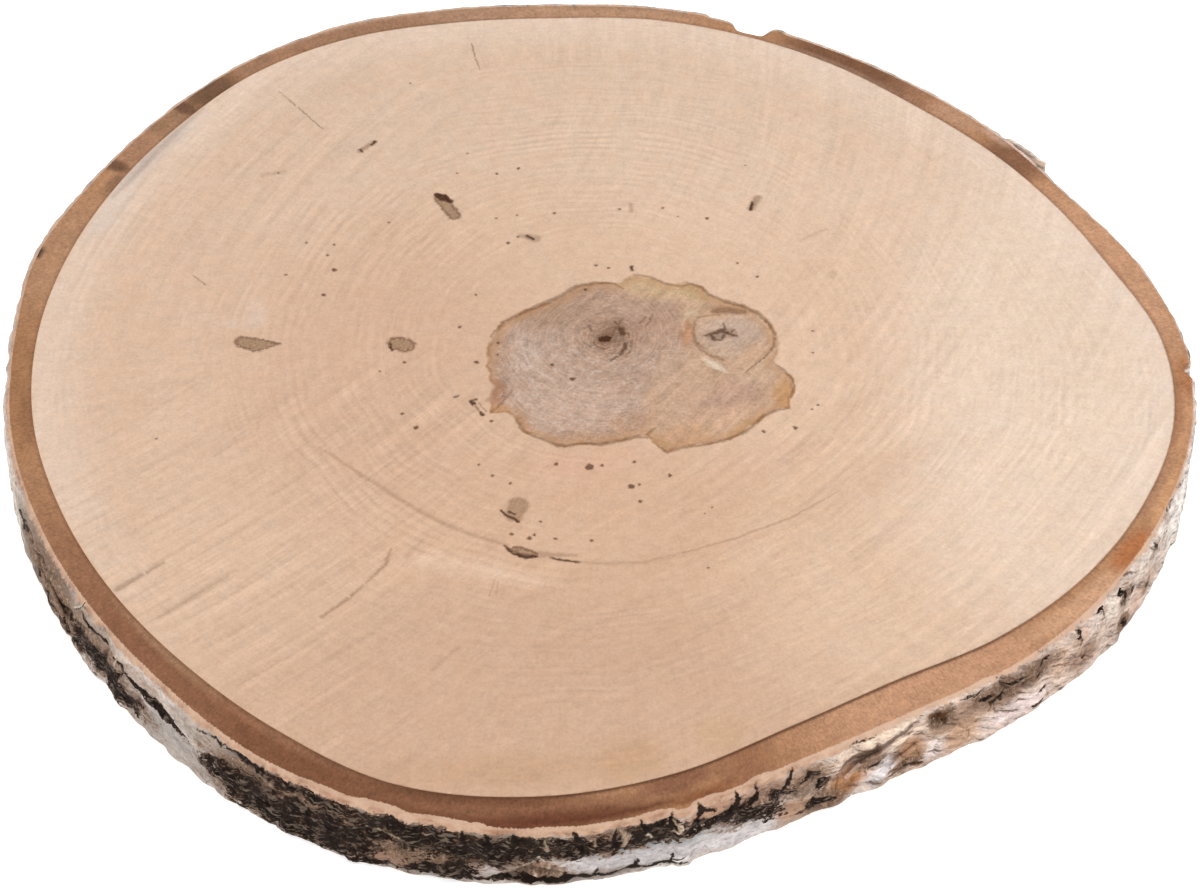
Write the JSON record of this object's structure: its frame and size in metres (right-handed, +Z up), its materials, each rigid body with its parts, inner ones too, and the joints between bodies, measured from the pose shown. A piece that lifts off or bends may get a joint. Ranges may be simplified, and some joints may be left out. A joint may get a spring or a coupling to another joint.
{
  "type": "birch wood slice",
  "caption": "Round birch trunk slice with flat sawn faces and rough bark left on its rim, for display or as a base.",
  "frame": {"origin": "centre of the overall box, on the surface that the slice rests on", "axes": "+Z up through the two sawn faces, +X to the right and +Y away from the viewer in the picture"},
  "size_m": [0.3898, 0.3883, 0.024],
  "materials": {
    "wood": "sawn, unsealed, matte",
    "bark": "rough birch bark, matte"
  },
  "bodies": {
    "root": {"birch_slice": "wood"}
  },
  "joints": []
}
